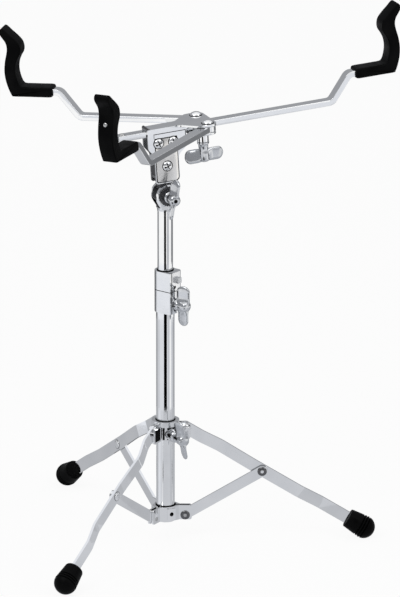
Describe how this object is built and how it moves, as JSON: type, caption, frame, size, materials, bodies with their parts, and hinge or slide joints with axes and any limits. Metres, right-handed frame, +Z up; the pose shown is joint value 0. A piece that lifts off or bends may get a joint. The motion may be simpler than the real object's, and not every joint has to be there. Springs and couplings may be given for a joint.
{
  "type": "snare drum stand",
  "caption": "Folding chrome snare drum stand: strap-leg tripod, height clamp with memory lock, fork tilter and a basket of sliding and swinging arms with rubber grips.",
  "frame": {"origin": "on the floor, under the axis of the tubes", "axes": "+Z up along the tubes, +X towards the right leg, +Y away from the picture's viewer"},
  "size_m": [0.4135, 0.3768, 0.5486],
  "materials": {
    "chrome": "bright plated",
    "nickel": "satin nickel",
    "rubber": "matt moulded",
    "nylon": "moulded"
  },
  "bodies": {
    "base": {"base_tube": "chrome", "tube_plug": "nylon", "hub_plate_back": "chrome", "hub_plate_left": "chrome", "hub_plate_front": "chrome", "hub_pins": "nickel", "height_clamp": "chrome", "clamp_bush": "nylon"},
    "sliding_hub": {"leg_hub": "chrome"},
    "leg_wing": {"leg_wing_bolt": "chrome"},
    "height_wing": {"height_wing_bolt": "chrome"},
    "lock": {"memory_lock": "chrome", "memory_key_bolt": "nickel"},
    "mast": {"upper_tube": "chrome", "tilt_fork": "chrome", "tilt_nut": "nickel", "tilt_ratchet": "nickel"},
    "tilt_wing": {"tilt_wing_bolt": "chrome"},
    "basket": {"tilter_arm": "nickel", "basket_bracket": "chrome", "basket_plate": "chrome", "clamp_boss": "chrome", "pivot_rivet_back": "nickel", "pivot_rivet_front": "nickel"},
    "basket_wing": {"basket_wing_bolt": "chrome"},
    "long_arm": {"arm_long": "chrome", "arm_stop": "nickel", "grip_long": "rubber"},
    "back_arm": {"arm_back": "chrome", "grip_back": "rubber"},
    "front_arm": {"arm_front": "chrome", "grip_front": "rubber"},
    "right_strut": {"strut_right": "chrome"},
    "right_leg": {"leg_right": "chrome", "foot_right": "rubber"},
    "back_strut": {"strut_back": "chrome"},
    "back_leg": {"leg_back": "chrome", "foot_back": "rubber"},
    "front_strut": {"strut_front": "chrome"},
    "front_leg": {"leg_front": "chrome", "foot_front": "rubber"}
  },
  "joints": [
    {"name": "tripod_fold", "type": "hinge", "parent": "base", "child": "right_strut", "pos_m": [0.0204, 0, 0.0266], "axis": [0, -1, 0], "range_deg": [-4, 54]},
    {"name": "right_leg_fold", "type": "hinge", "parent": "right_strut", "child": "right_leg", "pos_m": [0.0997, 0, 0.0738], "axis": [0, -1, 0], "range_deg": [-108, 8]},
    {"name": "back_strut_fold", "type": "hinge", "parent": "base", "child": "back_strut", "pos_m": [-0.0102, 0.01767, 0.0266], "axis": [0.866, 0.5, 0], "range_deg": [-4, 54]},
    {"name": "back_leg_fold", "type": "hinge", "parent": "back_strut", "child": "back_leg", "pos_m": [-0.04985, 0.08634, 0.0738], "axis": [0.866, 0.5, 0], "range_deg": [-108, 8]},
    {"name": "front_strut_fold", "type": "hinge", "parent": "base", "child": "front_strut", "pos_m": [-0.0102, -0.01767, 0.0266], "axis": [-0.866, 0.5, 0], "range_deg": [-4, 54]},
    {"name": "front_leg_fold", "type": "hinge", "parent": "front_strut", "child": "front_leg", "pos_m": [-0.04985, -0.08634, 0.0738], "axis": [-0.866, 0.5, 0], "range_deg": [-108, 8]},
    {"name": "leg_hub_pivot", "type": "hinge", "parent": "right_leg", "child": "sliding_hub", "pos_m": [0.0204, 0, 0.121], "axis": [0, -1, 0], "range_deg": [-4, 54]},
    {"name": "leg_wing_turn", "type": "hinge", "parent": "sliding_hub", "child": "leg_wing", "pos_m": [0, 0, 0.116], "axis": [0.5, -0.866, 0], "continuous": true},
    {"name": "height_wing_turn", "type": "hinge", "parent": "base", "child": "height_wing", "pos_m": [0, 0, 0.255], "axis": [0.7912, -0.6115, 0], "continuous": true},
    {"name": "height_slide", "type": "slide", "parent": "base", "child": "lock", "axis": [0, 0, 1], "range_m": [0, 0.11]},
    {"name": "mast_swivel", "type": "hinge", "parent": "lock", "child": "mast", "pos_m": [0, 0, 0.28], "axis": [0, 0, 1], "continuous": true},
    {"name": "tilt_wing_turn", "type": "hinge", "parent": "mast", "child": "tilt_wing", "pos_m": [0, 0, 0.3701], "axis": [0.3923, -0.9198, 0], "continuous": true},
    {"name": "basket_tilt", "type": "hinge", "parent": "mast", "child": "basket", "pos_m": [0, 0, 0.3701], "axis": [0.3923, -0.9198, 0], "range_deg": [-60, 70]},
    {"name": "basket_wing_turn", "type": "hinge", "parent": "basket", "child": "basket_wing", "pos_m": [0.03824, 0.01631, 0.42281], "axis": [0.0578, 0.0246, -0.998], "continuous": true},
    {"name": "long_arm_slide", "type": "slide", "parent": "basket", "child": "long_arm", "axis": [0.918, 0.3916, 0.0628], "range_m": [-0.06, 0.021]},
    {"name": "back_arm_swing", "type": "hinge", "parent": "basket", "child": "back_arm", "pos_m": [0.0307, 0.03071, 0.44327], "axis": [0.0578, 0.0246, -0.998], "range_deg": [-38, 25]},
    {"name": "front_arm_swing", "type": "hinge", "parent": "basket", "child": "front_arm", "pos_m": [0.04341, 0.0009, 0.44327], "axis": [-0.0578, -0.0246, 0.998], "range_deg": [-38, 25]}
  ],
  "couplings": [
    {"joint": "right_leg_fold", "follows": "tripod_fold", "ratio": -2},
    {"joint": "back_strut_fold", "follows": "tripod_fold", "ratio": 1},
    {"joint": "back_leg_fold", "follows": "tripod_fold", "ratio": -2},
    {"joint": "front_strut_fold", "follows": "tripod_fold", "ratio": 1},
    {"joint": "front_leg_fold", "follows": "tripod_fold", "ratio": -2},
    {"joint": "leg_hub_pivot", "follows": "tripod_fold", "ratio": 1}
  ]
}
